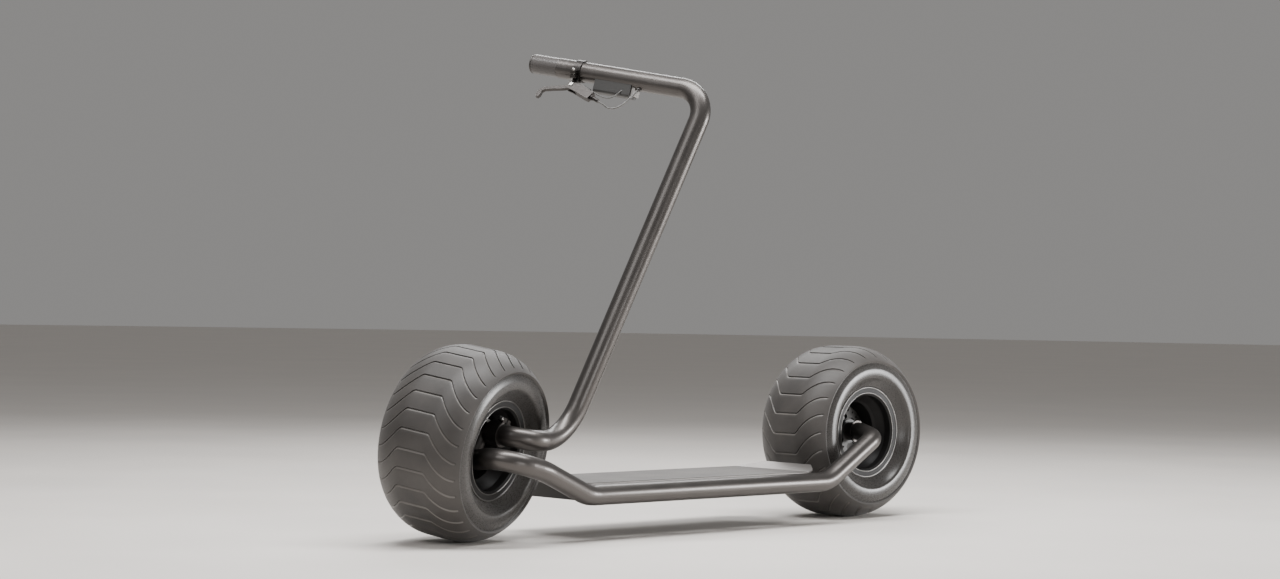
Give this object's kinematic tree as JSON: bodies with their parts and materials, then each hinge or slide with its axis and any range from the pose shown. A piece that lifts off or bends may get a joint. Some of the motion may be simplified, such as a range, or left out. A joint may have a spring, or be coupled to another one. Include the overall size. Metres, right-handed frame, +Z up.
{
  "type": "stand-up scooter",
  "caption": "Stand-up scooter with a low deck on a one-sided bent tube, two fat tyres, hub-centre steering and a bent tube stem and handlebar with lever and twist grip.",
  "frame": {"origin": "on the floor, at the middle of the whole scooter's footprint in its stored pose", "axes": "+X forward along the deck, +Y to the rider's left, +Z up"},
  "size_m": [1.7943, 0.5002, 1.1869],
  "materials": {
    "tube_paint": "satin",
    "knuckle_paint": "satin",
    "pipe_steel": "satin",
    "tyre_rubber": "matte",
    "rim_paint": "gloss",
    "deck_metal": "satin",
    "deck_grip": "matte",
    "tray_metal": "satin",
    "battery_wrap": "matte",
    "cast_alloy": "satin",
    "lever_alloy": "satin",
    "steel": "satin",
    "bronze": "satin",
    "brake_black": "satin",
    "pad_compound": "matte",
    "hose_black": "satin",
    "wire_black": "satin",
    "grip_rubber": "matte",
    "black_plastic": "matte",
    "grey_plastic": "matte"
  },
  "bodies": {
    "frame": {"frame_rail": "tube_paint", "rail_brake_pipe": "pipe_steel", "kingpin_lug": "tube_paint", "kingpin": "steel", "kingpin_hardware": "steel", "rail_lugs": "tube_paint", "deck_fasteners": "steel", "deck_plate": "deck_metal", "deck_mat": "deck_grip", "deck_tray": "tray_metal", "battery_pack": "battery_wrap", "motor_controller": "cast_alloy", "rear_axle": "steel", "rear_axle_nut": "steel", "rear_axle_boss": "tube_paint", "brake_caliper": "brake_black", "caliper_bracket": "brake_black", "caliper_screws": "steel", "caliper_inlet": "brake_black", "motor_stator": "steel"},
    "steering": {"front_axle": "steel", "front_axle_nut": "steel", "handlebar_stem": "tube_paint", "steering_knuckle": "knuckle_paint", "kingpin_bushes": "bronze", "grip_core": "cast_alloy", "throttle_collar": "cast_alloy", "bar_end_cap": "grip_rubber", "lever_bracket": "lever_alloy", "clamp_bolts": "steel", "lever_pivot_pin": "steel", "hose_nut": "lever_alloy", "brake_switch": "black_plastic", "brake_hose": "hose_black", "stem_brake_pipe": "pipe_steel", "hose_grommet": "grip_rubber", "switch_wire": "wire_black", "bar_pod": "black_plastic", "pod_end_cap": "grey_plastic"},
    "front_wheel": {"front_tyre": "tyre_rubber", "front_rim": "rim_paint", "front_valve": "black_plastic", "front_wheel_bolts": "steel", "front_hub": "cast_alloy", "front_hub_bearings": "steel", "front_dust_cap": "cast_alloy"},
    "rear_wheel": {"rear_tyre": "tyre_rubber", "rear_rim": "rim_paint", "rear_valve": "black_plastic", "rear_wheel_bolts": "steel", "motor_case": "cast_alloy", "motor_cover": "cast_alloy", "motor_magnets": "steel", "motor_bearings": "steel", "brake_rotor": "steel"},
    "throttle": {"twist_grip": "grip_rubber"},
    "lever": {"brake_lever": "lever_alloy"},
    "master_piston": {"master_piston": "steel"},
    "pad_inner": {"brake_pad_inner": "pad_compound"},
    "pad_outer": {"brake_pad_outer": "pad_compound"}
  },
  "joints": [
    {"name": "steering_turn", "type": "hinge", "parent": "frame", "child": "steering", "pos_m": [0.65578, 0.02058, 0.22767], "axis": [-0.4924, 0, 0.8704], "range_deg": [-32, 0]},
    {"name": "front_wheel_spin", "type": "hinge", "parent": "steering", "child": "front_wheel", "pos_m": [0.6645, -0.0077, 0.2326], "axis": [-0.2905, 0.9426, -0.1644], "continuous": true},
    {"name": "rear_wheel_spin", "type": "hinge", "parent": "frame", "child": "rear_wheel", "pos_m": [-0.6685, -0.0077, 0.2286], "axis": [0, 1, 0], "continuous": true},
    {"name": "brake_pull", "type": "hinge", "parent": "steering", "child": "lever", "pos_m": [0.24808, -0.10764, 1.1012], "axis": [0.717, 0.3282, 0.615], "range_deg": [0, 20], "stiffness_Nm_per_rad": 1.2, "springref_deg": -14.32},
    {"name": "throttle_twist", "type": "hinge", "parent": "steering", "child": "throttle", "pos_m": [0.24481, -0.20501, 1.15697], "axis": [0.2905, -0.9426, 0.1644], "range_deg": [0, 60], "stiffness_Nm_per_rad": 0.3, "springref_deg": -11.46},
    {"name": "master_push", "type": "slide", "parent": "steering", "child": "master_piston", "axis": [-0.0495, 0.904, -0.4247], "range_m": [0, 0.0027]},
    {"name": "inner_pad_press", "type": "slide", "parent": "frame", "child": "pad_inner", "axis": [0, 1, 0], "range_m": [0, 0.0008]},
    {"name": "outer_pad_press", "type": "slide", "parent": "frame", "child": "pad_outer", "axis": [0, -1, 0], "range_m": [0, 0.0008]}
  ],
  "couplings": [
    {"joint": "master_push", "follows": "brake_pull", "m_per_rad": 0.0077272},
    {"joint": "inner_pad_press", "follows": "brake_pull", "m_per_rad": 0.0022895},
    {"joint": "outer_pad_press", "follows": "brake_pull", "m_per_rad": 0.0022895}
  ]
}
